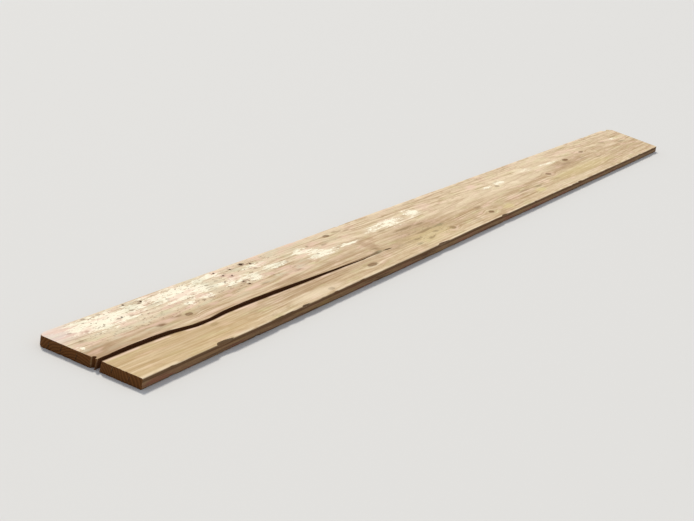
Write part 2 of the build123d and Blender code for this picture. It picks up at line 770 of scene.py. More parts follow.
@dataclass
class Breaks:
    """Where wood has gone: the chips out of the front arris and the broken far corner.

    All sizes are in millimetres.

    Args:
        lie: Where the board lies.
        length: The board's length along its rear edge.
        end_skew: How much shorter its front edge is.
        chips: Each chip's middle from the near end, its length and its depth.
        chip_root: The share of a chip's length that it takes to reach its full depth.
        chip_bar: The side of the square bar that cuts a chip.
        corner_along: How far the broken corner reaches along the rear edge.
        corner_across: How far it reaches along the far end.
        splinter_height: How far the splinter that is left stands out of the break.
        splinter_length: The splinter's length.
        fibre_step: The length of one step in the break.
        fibre_level: The height of one layer in it.
        fibre_pull: How far a layer is torn along and across, at most.
        ragged: How far each step is torn across, at most.
        splintered: The splintered surface of the breaks.
    """

    lie: Lie
    length: float
    end_skew: float
    chips: tuple[tuple[float, float, float], ...] = (
        (320, 90, 7), (690, 60, 4), (1555, 110, 5.5), (2080, 85, 6.5), (2900, 70, 4),
    )
    chip_root: float = 0.2
    chip_bar: float = 26.0
    corner_along: float = 130.0
    corner_across: float = 36.0
    splinter_height: float = 9.0
    splinter_length: float = 40.0
    fibre_step: float = 4.0
    fibre_level: float = 3.1
    fibre_pull: tuple[float, float] = (9.0, 1.0)
    ragged: float = 1.2
    splintered: Roughness = Roughness("splintered", (22, 3, 3), 1.6, middle=0.5, octaves=3)

    def chip(self, along: float, length: float, depth: float) -> bpy.types.Object:
        """Builds the cutter for one chip: a bar at 45 degrees that dips into the arris and runs out again.

        Args:
            along: The chip's middle, from the near end.
            length: Its length.
            depth: Its depth, square to the arris.

        Returns:
            The cutter.
        """
        cutter = Run(
            self.lie,
            "chip",
            start=along - length / 2,
            length=length,
            middle=lambda run: self._chip_middle(run / length, depth),
            gape=lambda run: self.chip_bar,
            height=self.chip_bar,
            levels=4,
            step=length / 20,
            roll=math.radians(45),
        ).build()
        Bench.open(cutter)
        sideways = Vector((0, 1, 1)).normalized()
        arris = self.lie.at(0, 0, self.lie.thickness)
        Bench.slice(sideways, [arris + sideways * (offset * MM) for offset in range(-9, 10, 2)])
        self.splintered.apply(cutter)
        return cutter

    def _chip_middle(self, share: float, depth: float) -> tuple[float, float]:
        """The place of the bar's middle, which dips steeply at the chip's root and then runs out.

        Args:
            share: How far along the chip it is, from 0 to 1.
            depth: The chip's depth, square to the arris.

        Returns:
            Its places across and up.
        """
        torn = share / self.chip_root if share < self.chip_root else (1 - share) / (1 - self.chip_root)
        clear = 0.3
        out = self.chip_bar / 2 + clear - depth * math.sin(min(torn, 1.0) * math.pi / 2)
        aside = out * math.sqrt(0.5)
        return (-aside, self.lie.thickness + aside)

    def break_line(self, along: float) -> float:
        """How far from the front edge the wood still reaches beside the broken corner.

        Args:
            along: The distance from the near end.

        Returns:
            The distance from the front edge.
        """
        end_along = self.length - self.end_skew * self.corner_across / self.lie.width
        end = (end_along, self.lie.width - self.corner_across)
        rear = (self.length - self.corner_along, self.lie.width)
        middle = ((end[0] + rear[0]) / 2, (end[1] + rear[1]) / 2)
        points = [
            (rear[0] - 40, rear[1] + 8),
            rear,
            (middle[0] - self.splinter_length / 2, middle[1] - self.splinter_height / 2),
            (middle[0] + self.splinter_length / 2, middle[1] + self.splinter_height),
            end,
            (end[0] + 60, end[1]),
        ]
        for before, after in zip(points, points[1:]):
            if before[0] <= along <= after[0]:
                share = (along - before[0]) / (after[0] - before[0])
                return before[1] + (after[1] - before[1]) * share
        return points[-1][1]

    def corner(self, seed: int) -> bpy.types.Object:
        """Builds the cutter for the broken corner, its face pushed into splinters.

        Args:
            seed: What the draws start from.

        Returns:
            The cutter.
        """
        draw = random.Random(seed)
        start = self.length - self.corner_along - 16
        end = self.length + 12
        front = self.lie.width + 6
        low = self.lie.at(start, front, -4)
        high = self.lie.at(end, front + 10, self.lie.thickness + 4)
        piece = Bench.block("broken_corner", low, high)
        Bench.open(piece)
        stations = [start + self.fibre_step * n for n in range(1, int((end - start) / self.fibre_step))]
        levels = [-1.5 + self.fibre_level * n for n in range(11)]
        Bench.slice(Vector((1, 0, 0)), [self.lie.at(station, 0, 0) for station in stations])
        Bench.slice(Vector((0, 0, 1)), [self.lie.at(0, 0, level) for level in levels])
        edge = low.y + 0.5 * MM
        for station in [start, *stations, end]:
            place = self.lie.at(station, 0, 0).x
            Bench.pick(piece, Element.VERTEX, lambda v: abs(v.co.x - place) < NEAR and v.co.y < edge)
            back = self.break_line(station) - front + draw.uniform(-self.ragged, self.ragged)
            bpy.ops.transform.translate(value=(0, back * MM, 0))
        rear = high.y - 0.5 * MM
        pull_along, pull_across = self.fibre_pull
        for level in levels:
            height = self.lie.at(0, 0, level).z
            Bench.pick(piece, Element.VERTEX, lambda v: abs(v.co.z - height) < NEAR and v.co.y < rear)
            pull = (draw.uniform(-pull_along, pull_along), draw.uniform(-pull_across, pull_across), 0)
            bpy.ops.transform.translate(value=Vector(pull) * MM)
        self.splintered.apply(piece)
        return piece

    def all(self, seed: int) -> list[bpy.types.Object]:
        """Builds the cutters of every break, the chips as one mesh."""
        return [Bench.join([self.chip(*chip) for chip in self.chips]), self.corner(seed)]


@dataclass
class Board:
    """The sawn board itself, with what age and use have done to it.

    All sizes are in millimetres.

    Args:
        lie: Where the board lies.
        length: Its length along its rear edge.
        end_skew: How much shorter its front edge is.
        arris_wear: The rounding of its long arrises.
        end_wear: The rounding of the arrises at its ends.
        worn_corner_along: How far the worn near corner reaches along the rear edge.
        worn_corner_across: How far it reaches along the near end.
        worn_corner_bend: How far out its bend stands; at 0.5 it would be a straight cut.
        fine_step: The length of one cell of its grid near the ends.
        fine_reach: How far from the near end the grid is that fine.
        coarse_step: The length of one cell elsewhere.
        row: The width of one cell.
        dents: How many dents its faces have.
        dents_along: The part of its length that they lie in, from the near end.
        dents_across: The part of its width that they lie in, from the front edge.
        dent_depth: The least and the greatest depth of a dent.
        dent_radius: The least and the greatest radius of a dent.
        rubs: How many places of its long arrises are rubbed back.
        rubs_along: The part of its length that they lie in, from the near end.
        rub_depth: The least and the greatest depth of such a place.
        rub_radius: The least and the greatest radius of such a place.
        above_share: The share of the dents, and of the rubs, that are on the upper side.
        sways: How deep the front and the rear edge wander inwards, and over what length.
        smooth_angle: The sharpest edge that is still shaded smooth, in degrees.
        seed: What the draws start from.
    """

    lie: Lie
    length: float = 4200.0
    end_skew: float = 140.0
    arris_wear: float = 3.0
    end_wear: float = 1.5
    worn_corner_along: float = 24.0
    worn_corner_across: float = 16.0
    worn_corner_bend: float = 0.3
    fine_step: float = 8.0
    fine_reach: float = 1400.0
    coarse_step: float = 16.0
    row: float = 3.9
    dents: int = 46
    dents_along: tuple[float, float] = (20, 4050)
    dents_across: tuple[float, float] = (12, 293)
    dent_depth: tuple[float, float] = (0.4, 1.3)
    dent_radius: tuple[float, float] = (9, 20)
    rubs: int = 44
    rubs_along: tuple[float, float] = (30, 4040)
    rub_depth: tuple[float, float] = (0.5, 1.6)
    rub_radius: tuple[float, float] = (12, 23)
    above_share: tuple[float, float] = (0.75, 0.7)
    sways: tuple[tuple[float, float], ...] = ((1.8, 420), (1.8, 520))
    smooth_angle: float = 38.0
    seed: int = 7

    def build(self) -> bpy.types.Object:
        """Builds the board.

        Returns:
            The finished mesh, with no material yet.
        """
        piece = self._blank()
        self._slices()
        self._sway(piece)
        self._wear(piece)
        for cutter in self._cutters():
            LOG.info("cutting %s", cutter.name)
            Bench.cut(piece, cutter)
        self._weather(piece)
        self._true_up(piece)
        self._trim_flaps(piece)
        Bench.face_outwards(piece)
        Bench.take(piece)
        bpy.ops.object.shade_smooth_by_angle(angle=math.radians(self.smooth_angle))
        Bench.clear()
        return piece

    def _blank(self) -> bpy.types.Object:
        """Saws the blank: a block cut askew, its corner rounded and its arrises worn.

        Returns:
            The blank, in edit mode.
        """
        lie = self.lie
        piece = Bench.block("weathered_plank", lie.at(0, 0, 0), lie.at(self.length, lie.width, lie.thickness))
        Bench.open(piece)
        Bench.shave(lie.at(self.length, lie.width, 0), Vector((lie.width, -self.end_skew, 0)).normalized())
        self._round_corner()
        Bench.pick(piece, Element.EDGE, self._is_arris)
        bpy.ops.mesh.bevel(offset=self.arris_wear * MM, segments=3, profile=0.5, affect="EDGES")
        Bench.pick(piece, Element.EDGE, self._bounds_end)
        bpy.ops.mesh.bevel(offset=self.end_wear * MM, segments=2, profile=0.5, affect="EDGES")
        return piece

    def _round_corner(self) -> None:
        """Shaves the near rear corner round, facet by facet."""
        power = math.log(self.worn_corner_bend) / math.log(0.5)
        outline = []
        facets = 5
        for step in range(facets + 1):
            share = step / facets
            along = self.worn_corner_along * share**power
            across = self.lie.width - self.worn_corner_across * (1 - share) ** power
            outline.append(Vector((along, across, 0)))
        for here, there in zip(outline, outline[1:]):
            edge = there - here
            Bench.shave(self.lie.at(*here), Vector((-edge.y, edge.x, 0)).normalized())

    @staticmethod
    def _is_arris(edge: bmesh.types.BMEdge) -> bool:
        """Whether an edge lies between a broad face and the side of the board.

        Args:
            edge: The edge.

        Returns:
            True if it does.
        """
        flat = [face for face in edge.link_faces if abs(face.normal.z) > 0.9]
        side = [face for face in edge.link_faces if abs(face.normal.z) < 0.1 and abs(face.normal.x) < 0.8]
        return len(flat) == 1 and len(side) == 1

    @staticmethod
    def _bounds_end(edge: bmesh.types.BMEdge) -> bool:
        """Whether an edge lies round one of the sawn ends."""
        return sum(abs(face.normal.x) > 0.8 for face in edge.link_faces) == 1

    def _slices(self) -> None:
        """Cuts the blank, in edit mode, into a grid that is fine enough to carry the relief."""
        stations = []
        place = self.fine_step
        while place < self.length - self.fine_step:
            stations.append(place)
            near_an_end = place < self.fine_reach or place > self.length - self.end_skew - 20
            place += self.fine_step if near_an_end else self.coarse_step
        rows = int(self.lie.width / self.row)
        across = [self.lie.width * n / rows for n in range(2, rows - 1)]
        inside = self.lie.thickness - 2 * self.arris_wear
        layers = 7
        up = [self.arris_wear + inside * n / layers for n in range(1, layers)]
        Bench.slice(Vector((1, 0, 0)), [self.lie.at(station, 0, 0) for station in stations])
        Bench.slice(Vector((0, 0, 1)), [self.lie.at(0, 0, level) for level in up])
        Bench.slice(Vector((0, 1, 0)), [self.lie.at(0, place, 0) for place in across])

    def _wear(self, piece: bpy.types.Object) -> None:
        """Presses dents into the faces and rubs the long arrises back.

        Args:
            piece: The board.
        """
        draw = random.Random(self.seed)
        Bench.clear()
        points = KDTree(len(piece.data.vertices))
        for vertex in piece.data.vertices:
            points.insert(vertex.co, vertex.index)
        points.balance()
        Bench.open(piece)
        bpy.ops.mesh.select_mode(type="VERT")
        top = self.lie.thickness
        dents_above, rubs_above = self.above_share
        for _ in range(self.dents):
            above = draw.random() < dents_above
            along, across = draw.uniform(*self.dents_along), draw.uniform(*self.dents_across)
            place = self.lie.at(along, across, top if above else 0)
            inward = Vector((0, 0, -1 if above else 1)) * (draw.uniform(*self.dent_depth) * MM)
            self._press(piece, points, place, inward, draw.uniform(*self.dent_radius))
        for number in range(self.rubs):
            rear, above = number % 2 == 1, draw.random() < rubs_above
            across = self.lie.width if rear else 0
            place = self.lie.at(draw.uniform(*self.rubs_along), across, top if above else 0)
            inward = Vector((0, -1 if rear else 1, -1 if above else 1)) * (draw.uniform(*self.rub_depth) * MM)
            self._press(piece, points, place, inward, draw.uniform(*self.rub_radius))
        Bench.clear()

    @staticmethod
    def _press(piece: bpy.types.Object, points: KDTree, place: Vector, move: Vector, radius: float) -> None:
        """Pushes the mesh in round one place, with proportional editing.

        Args:
            piece: The object being edited.
            points: Its vertices, by place.
            place: Where it is pressed.
            move: How far and which way.
            radius: How far round about it gives way, in millimetres.
        """
        bpy.ops.mesh.select_all(action="DESELECT")
        mesh = bmesh.from_edit_mesh(piece.data)
        mesh.verts.ensure_lookup_table()
        mesh.verts[points.find(place)[1]].select_set(True)
        bmesh.update_edit_mesh(piece.data)
        bpy.ops.transform.translate(
            value=move,
            use_proportional_edit=True,
            proportional_edit_falloff="SMOOTH",
            proportional_size=radius * MM,
        )

    def _cutters(self) -> list[bpy.types.Object]:
        """Builds the cutters of everything that is missing from the board.

        Returns:
            The cutters, in the order in which they cut.
        """
        splits = Splits(self.lie)
        cutters = [splits.split(), splits.check()]
        cutters += Holes(self.lie).all()
        cutters += Breaks(self.lie, self.length, self.end_skew).all(self.seed)
        cutters.append(splits.hairlines(self.seed))
        cutters.append(splits.end_checks())
        return cutters

    def _sway(self, piece: bpy.types.Object) -> None:
        """Lets the long edges wander inwards a little, as they do on a board sawn by eye.

        Args:
            piece: The board.
        """
        strip = 1.1 * self.arris_wear
        front, rear = self.lie.at(0, strip, 0).y, self.lie.at(0, self.lie.width - strip, 0).y
        Bench.open(piece)
        self._group(piece, "front_edge", lambda v: v.co.y < front)
        self._group(piece, "rear_edge", lambda v: v.co.y > rear)
        Bench.clear()
        for group, inward, (depth, reach) in zip(("front_edge", "rear_edge"), (1, -1), self.sways):
            Roughness(
                "sway",
                (reach, 60, 60),
                inward * depth,
                Heading.ACROSS,
                contrast=3,
                level=0.7,
                group=group,
            ).apply(piece)

    def _weather(self, piece: bpy.types.Object) -> None:
        """Roughens every surface inwards, so that the board keeps its size.

        Args:
            piece: The board.
        """
        Bench.open(piece)
        self._group(piece, "ends", self._on_end)
        Bench.clear()
        finishes = [
            Roughness("ridges", (230, 9, 9), -0.6, contrast=3, level=0.75, octaves=3),
            Roughness("hollows", (600, 70, 70), -0.5, contrast=3, level=0.75),
            Roughness("end_tear", (20, 5, 5), -1.2, contrast=3, level=0.8, octaves=3, group="ends"),
        ]
        for finish in finishes:
            finish.apply(piece)

    def _true_up(self, piece: bpy.types.Object) -> None:
        """Presses back into the board's box whatever still stands out of it.

        Args:
            piece: The board.
        """
        Bench.open(piece)
        for axis in range(3):
            for corner, outward in ((self.lie.low, -1), (self.lie.high, 1)):
                if Bench.pick(piece, Element.VERTEX, lambda v: (v.co[axis] - corner[axis]) * outward > 0):
                    flat = [0.0 if number == axis else 1.0 for number in range(3)]
                    bpy.ops.transform.resize(value=flat, center_override=corner)
        Bench.clear()

    @staticmethod
    def _trim_flaps(piece: bpy.types.Object) -> None:
        """Cuts the faces into triangles and takes off those that then hang by a single edge.

        Args:
            piece: The board.
        """
        Bench.open(piece)
        bpy.ops.mesh.quads_convert_to_tris(quad_method="SHORTEST_DIAGONAL", ngon_method="BEAUTY")
        loose = Bench.pick(piece, Element.FACE, lambda f: sum(edge.is_boundary for edge in f.edges) > 1)
        if loose:
            bpy.ops.mesh.delete(type="FACE")
        LOG.info("flaps taken off: %d", loose)
        Bench.clear()

    def _on_end(self, vertex: bmesh.types.BMVert) -> bool:
        """Whether a vertex lies on one of the two sawn ends.

        Args:
            vertex: The vertex.

        Returns:
            True if it does.
        """
        along = (vertex.co.x - self.lie.low.x) / MM
        across = (vertex.co.y - self.lie.low.y) / MM
        far_end = self.length - self.end_skew * (1 - across / self.lie.width)
        return along < 0.5 or along > far_end - 0.5

    @staticmethod
    def _group(piece: bpy.types.Object, name: str, test: Callable[..., bool]) -> None:
        """Makes a vertex group, in edit mode, of the vertices that pass a test.

        Args:
            piece: The object being edited.
            name: What the group is called.
            test: Says whether a vertex belongs to it.
        """
        Bench.pick(piece, Element.VERTEX, test)
        piece.vertex_groups.new(name=name)
        bpy.ops.object.vertex_group_assign()


Value = Union["Signal", float, tuple]
Colour = tuple[float, float, float, float]


class Signal:
    """A node socket that takes part in arithmetic: each expression adds its Math nodes."""

    def __init__(self, graph: "Graph", socket: bpy.types.NodeSocket) -> None:
        """Takes an output of a graph's node."""
        self.graph = graph
        self.socket = socket

    def _math(self, operation: str, first: Value, second: Value = 0.0) -> "Signal":
        """Adds one Math node."""
        return self.graph.node("ShaderNodeMath", {"operation": operation}, {0: first, 1: second})

    def __add__(self, other: Value) -> "Signal":
        """This plus the other."""
        return self._math("ADD", self, other)

    def __radd__(self, other: Value) -> "Signal":
        """The other plus this."""
        return self._math("ADD", other, self)

    def __sub__(self, other: Value) -> "Signal":
        """This less the other."""
        return self._math("SUBTRACT", self, other)

    def __rsub__(self, other: Value) -> "Signal":
        """The other less this."""
        return self._math("SUBTRACT", other, self)

    def __mul__(self, other: Value) -> "Signal":
        """This times the other."""
        return self._math("MULTIPLY", self, other)

    def __rmul__(self, other: Value) -> "Signal":
        """The other times this."""
        return self._math("MULTIPLY", other, self)

    def __truediv__(self, other: Value) -> "Signal":
        """This over the other."""
        return self._math("DIVIDE", self, other)

    def __pow__(self, other: Value) -> "Signal":
        """This to the power of the other."""
        return self._math("POWER", self, other)

    def __abs__(self) -> "Signal":
        """This without its sign."""
        return self._math("ABSOLUTE", self)

    def most(self, other: Value) -> "Signal":
        """The larger of the two."""
        return self._math("MAXIMUM", self, other)

    def least(self, other: Value) -> "Signal":
        """The smaller of the two."""
        return self._math("MINIMUM", self, other)

    def turns(self) -> "Signal":
        """What is left over of this past its last whole number."""
        return self._math("FRACT", self)

    def rise(self, start: float, end: float) -> "Signal":
        """A smooth step from 0 at the start to 1 at the end, or down where the end is lower.

        Args:
            start: Where the step begins.
            end: Where it ends.

        Returns:
            The step.
        """
        low, high = min(start, end), max(start, end)
        step = self.graph.node(
            "ShaderNodeMapRange",
            {"interpolation_type": "SMOOTHSTEP"},
            {"Value": self, "From Min": low, "From Max": high},
        )
        return step if start < end else 1 - step

    def between(self, start: float, end: float, fade: float) -> "Signal":
        """A mask that is 1 from start to end and fades out to either side."""
        return self.rise(start - fade, start + fade) * self.rise(end + fade, end - fade)


class Graph:
    """The node tree of one material."""

    def __init__(self, name: str) -> None:
        """Makes an empty material.

        Args:
            name: What the material is called.
        """
        self.material = bpy.data.materials.new(name)
        self.material.use_nodes = True
        self.tree = self.material.node_tree
        self.tree.nodes.clear()

    def node(self, kind: str, settings: dict[str, object], sockets: dict[Union[int, str], Value],
             output: Union[int, str] = 0) -> Signal:
        """Adds one node.

        Args:
            kind: The node's type.
            settings: Its settings, a ramp's stops among them, which are set first.
            sockets: The values or links of its inputs, by place, name or identifier.
            output: The output that is wanted, by place, name or identifier.

        Returns:
            The output.
        """
        made = self.tree.nodes.new(kind)
        for name, value in settings.items():
            if name == "stops":
                self._set_stops(made.color_ramp, value)
            else:
                setattr(made, name, value)
        for key, value in sockets.items():
            socket = self._find(made.inputs, key)
            if isinstance(value, Signal):
                self.tree.links.new(value.socket, socket)
            else:
                socket.default_value = value
        return Signal(self, self._find(made.outputs, output))

    @staticmethod
    def _find(sockets: Sequence[bpy.types.NodeSocket], key: Union[int, str]) -> bpy.types.NodeSocket:
        """Finds one of a node's sockets.

        Args:
            sockets: The node's inputs or outputs.
            key: The socket's place, identifier or name.

        Returns:
            The socket.
        """
        if isinstance(key, int):
            return sockets[key]
        by_identifier = [socket for socket in sockets if socket.identifier == key]
        return by_identifier[0] if by_identifier else sockets[key]

    @staticmethod
    def _set_stops(ramp: bpy.types.ColorRamp, stops: Sequence[tuple[float, Colour]]) -> None:
        """Gives a ramp its stops.

        Args:
            ramp: The ramp.
            stops: The position and colour of each, in order.
        """
        while len(ramp.elements) < len(stops):
            ramp.elements.new(1.0)
        for element, (position, colour) in zip(ramp.elements, stops):
            element.position = position
            element.color = colour

    def surface(self, values: dict[str, Value]) -> bpy.types.Material:
        """Ends the tree in a Principled shader with these values or links.

        Args:
            values: The values or links of the shader's sockets.

        Returns:
            The material.
        """
        shader = self.node("ShaderNodeBsdfPrincipled", {}, values)
        output = self.tree.nodes.new("ShaderNodeOutputMaterial")
        self.tree.links.new(shader.socket, output.inputs["Surface"])
        return self.material

    def mix(self, below: Value, above: Value, amount: Value) -> Signal:
        """Lays one colour over another, as strongly as the amount says."""
        sockets = {"Factor_Float": amount, "A_Color": below, "B_Color": above}
        return self.node("ShaderNodeMix", {"data_type": "RGBA"}, sockets, "Result_Color")

    def parts(self, vector: Signal) -> list[Signal]:
        """The three parts of a vector, one by one."""
        return [self.node("ShaderNodeSeparateXYZ", {}, {"Vector": vector}, axis) for axis in "XYZ"]

    def stretch(self, place: Value, scale: Value, shift: Value) -> Signal:
        """Multiplies a vector by one vector and then adds another."""
        sockets = {0: place, 1: scale, 2: shift}
        return self.node("ShaderNodeVectorMath", {"operation": "MULTIPLY_ADD"}, sockets)

    def noise(self, place: Signal, grain: tuple[float, float, float], detail: float = 2.0,
              roughness: float = 0.5, shift: float = 0.0, output: str = "Fac") -> Signal:
        """Adds noise whose marks have a given size.

        Args:
            place: The place on the board, in millimetres.
            grain: The size of a mark along, across and up through the board.
            detail: How many finer layers the noise has.
            roughness: How strong the finer layers are.
            shift: Moves the noise, so that two of them differ.
            output: Fac for one value from 0 to 1, or Color for three at once.

        Returns:
            The noise.
        """
        scale = tuple(1 / size for size in grain)
        spread = self.stretch(place, scale, (shift, shift, shift))
        values = {"Vector": spread, "Scale": 1.0, "Detail": detail, "Roughness": roughness}
        return self.node("ShaderNodeTexNoise", {"noise_dimensions": "3D"}, values, output)


def paint(red: int, green: int, blue: int) -> Colour:
    """Turns a screen colour into Blender's linear one.

    Args:
        red: Its red, from 0 to 255.
        green: Its green.
        blue: Its blue.

    Returns:
        The linear colour, with an alpha of 1.
    """
    linear = []
    for value in (red, green, blue):
        share = value / 255
        linear.append(share / 12.92 if share <= 0.04045 else ((share + 0.055) / 1.055) ** 2.4)
    return (*linear, 1.0)


class Stain(Enum):
    """What a mark on the top face is, with its colour."""

    BROWN = paint(126, 88, 58)
    GREY = paint(150, 124, 88)
    GREEN = paint(120, 110, 78)
    MOSS = paint(222, 204, 146)
    PINK = paint(236, 204, 184)
    SHADE = paint(168, 136, 102)
    BLEACHED = paint(244, 226, 194)
    WHITEWASH = paint(255, 247, 222)


@dataclass(frozen=True)
class Mark:
    """One patch of colour on the top face.

    Args:
        stain: What it is.
        along: Its middle, in millimetres from the near end.
        across: Its middle, from the front edge.
        half_length: Half its length along the grain.
        half_width: Half its width.
        strength: How strongly it covers.
    """

    stain: Stain
    along: float
    across: float
    half_length: float
    half_width: float
    strength: float


KNOTS = (  # along, across, half the length, half the width and strength
    (377, 158, 14, 7, 1.0), (850, 22, 14, 7, 0.85), (1132, 46, 26, 9, 0.85), (1239, 272, 18, 8, 0.9),
    (1730, 57, 17, 11, 0.75), (2052, 51, 18, 9, 0.9), (2420, 185, 16, 9, 0.65), (2858, 132, 20, 11, 0.75),
    (3202, 182, 28, 11, 1.0), (3455, 195, 24, 9, 0.85),
)
PATCHES = (  # each one lies over those before it
    Mark(Stain.SHADE, 930, 76, 400, 28, 0.35), Mark(Stain.SHADE, 40, 152, 84, 34, 0.75),
    Mark(Stain.SHADE, 1600, 118, 220, 55, 0.4), Mark(Stain.SHADE, 3150, 150, 260, 34, 0.35),
    Mark(Stain.SHADE, 1282, 142, 32, 52, 0.55), Mark(Stain.BLEACHED, 2150, 160, 420, 40, 0.25),
    Mark(Stain.SHADE, 230, 160, 200, 24, 0.35), Mark(Stain.SHADE, 35, 206, 30, 16, 0.4),
    Mark(Stain.BLEACHED, 780, 30, 130, 20, 0.5), Mark(Stain.BLEACHED, 2650, 160, 240, 24, 0.45),
    Mark(Stain.BLEACHED, 2850, 206, 480, 18, 0.3), Mark(Stain.BLEACHED, 2900, 30, 480, 18, 0.3),
    Mark(Stain.SHADE, 300, 75, 130, 26, 0.3), Mark(Stain.SHADE, 1100, 134, 170, 16, 0.4),
    Mark(Stain.SHADE, 800, 132, 80, 14, 0.5), Mark(Stain.BLEACHED, 3000, 262, 240, 34, 0.35),
    Mark(Stain.BLEACHED, 2930, 168, 110, 20, 0.3), Mark(Stain.SHADE, 187, 42, 80, 34, 0.25),
    Mark(Stain.SHADE, 1000, 276, 130, 18, 0.25),
    Mark(Stain.PINK, 905, 168, 70, 22, 0.3), Mark(Stain.BROWN, 267, 158, 20, 8, 0.8),
    Mark(Stain.BROWN, 335, 168, 26, 5, 0.55), Mark(Stain.GREY, 382, 80, 20, 8, 0.75),
    Mark(Stain.BROWN, 733, 161, 26, 6, 0.45), Mark(Stain.BROWN, 906, 160, 22, 6, 0.45),
    Mark(Stain.GREEN, 1250, 90, 38, 9, 0.75), Mark(Stain.GREY, 1272, 113, 22, 8, 0.6),
    Mark(Stain.MOSS, 3150, 78, 420, 36, 0.4), Mark(Stain.MOSS, 1580, 70, 170, 44, 0.4),
    Mark(Stain.GREY, 1308, 276, 20, 6, 0.5), Mark(Stain.GREY, 1357, 264, 20, 6, 0.55),
    Mark(Stain.GREY, 1400, 75, 110, 6, 0.4), Mark(Stain.BROWN, 1154, 233, 18, 6, 0.55),
    Mark(Stain.GREY, 1550, 153, 60, 7, 0.8), Mark(Stain.GREY, 1602, 101, 70, 8, 0.75),
    Mark(Stain.GREY, 1554, 52, 24, 7, 0.7), Mark(Stain.GREY, 1652, 148, 34, 7, 0.7),
    Mark(Stain.GREY, 1633, 74, 26, 7, 0.65), Mark(Stain.GREEN, 1710, 99, 40, 7, 0.5),
    Mark(Stain.GREY, 1490, 216, 30, 6, 0.45), Mark(Stain.GREY, 2040, 98, 36, 7, 0.4),
    Mark(Stain.BROWN, 2475, 91, 60, 7, 0.55), Mark(Stain.GREEN, 2607, 84, 36, 7, 0.65),
    Mark(Stain.GREY, 2819, 79, 40, 7, 0.35), Mark(Stain.GREY, 3468, 113, 44, 6, 0.5),
    Mark(Stain.BROWN, 3150, 152, 70, 9, 0.4), Mark(Stain.GREY, 3340, 150, 40, 12, 0.4),
    Mark(Stain.GREEN, 3960, 158, 44, 9, 0.45), Mark(Stain.BROWN, 3800, 205, 50, 10, 0.35),
    Mark(Stain.GREY, 1495, 75, 24, 7, 0.55), Mark(Stain.GREEN, 1459, 45, 22, 7, 0.5),
    Mark(Stain.GREY, 1459, 185, 26, 6, 0.45), Mark(Stain.PINK, 1855, 235, 55, 30, 0.5),
    Mark(Stain.GREY, 1913, 44, 24, 12, 0.35), Mark(Stain.BROWN, 2050, 110, 26, 8, 0.4),
    Mark(Stain.MOSS, 2190, 42, 50, 18, 0.45), Mark(Stain.PINK, 2282, 240, 45, 16, 0.6),
    Mark(Stain.BLEACHED, 2568, 168, 40, 12, 0.6), Mark(Stain.MOSS, 2573, 55, 45, 18, 0.6),
    Mark(Stain.BLEACHED, 2765, 230, 55, 22, 0.6), Mark(Stain.PINK, 3310, 248, 80, 24, 0.4),
)
SPECKS = (  # along, across and strength
    (46, 214, 0.4), (97, 243, 0.75), (56, 259, 0.4), (143, 296, 0.6), (192, 292, 0.5), (257, 241, 0.5),
    (280, 261, 0.7), (331, 278, 0.65), (413, 251, 0.45), (428, 239, 0.4), (486, 192, 0.6), (514, 190, 0.4),
    (573, 248, 0.8), (613, 193, 0.4), (621, 252, 0.5), (666, 261, 0.7), (686, 244, 0.85), (800, 244, 0.7),
    (923, 216, 0.55), (1069, 198, 0.6), (1096, 254, 0.5), (1175, 190, 0.4),
)
WHITEWASH = (  # along, across, half the length, half the width and strength
    (170, 258, 115, 36, 1.15), (95, 243, 34, 12, 0.7), (285, 266, 70, 26, 0.9), (380, 274, 70, 22, 0.85),
    (475, 254, 100, 38, 1.1), (590, 232, 120, 9, 1.0), (615, 282, 85, 14, 0.9), (435, 200, 18, 10, 1.35),
    (515, 203, 28, 11, 1.2), (18, 188, 12, 10, 0.9), (655, 214, 50, 10, 0.85), (735, 208, 50, 24, 0.8),
    (868, 222, 62, 14, 1.0), (810, 254, 60, 18, 0.6), (1042, 240, 52, 19, 1.0), (1096, 190, 76, 17, 1.0),
    (1072, 215, 56, 16, 0.7), (1240, 190, 62, 10, 1.0), (1435, 210, 50, 12, 0.65), (1480, 224, 60, 10, 0.7),
    (1565, 213, 80, 27, 0.85), (1745, 225, 40, 24, 0.95), (1700, 196, 28, 6, 0.7), (2350, 199, 38, 10, 0.8),
    (2480, 203, 42, 14, 0.95), (2800, 220, 60, 14, 0.5), (3060, 200, 80, 7, 0.6), (2980, 207, 34, 9, 0.55),
    (3960, 205, 46, 9, 0.5),
)


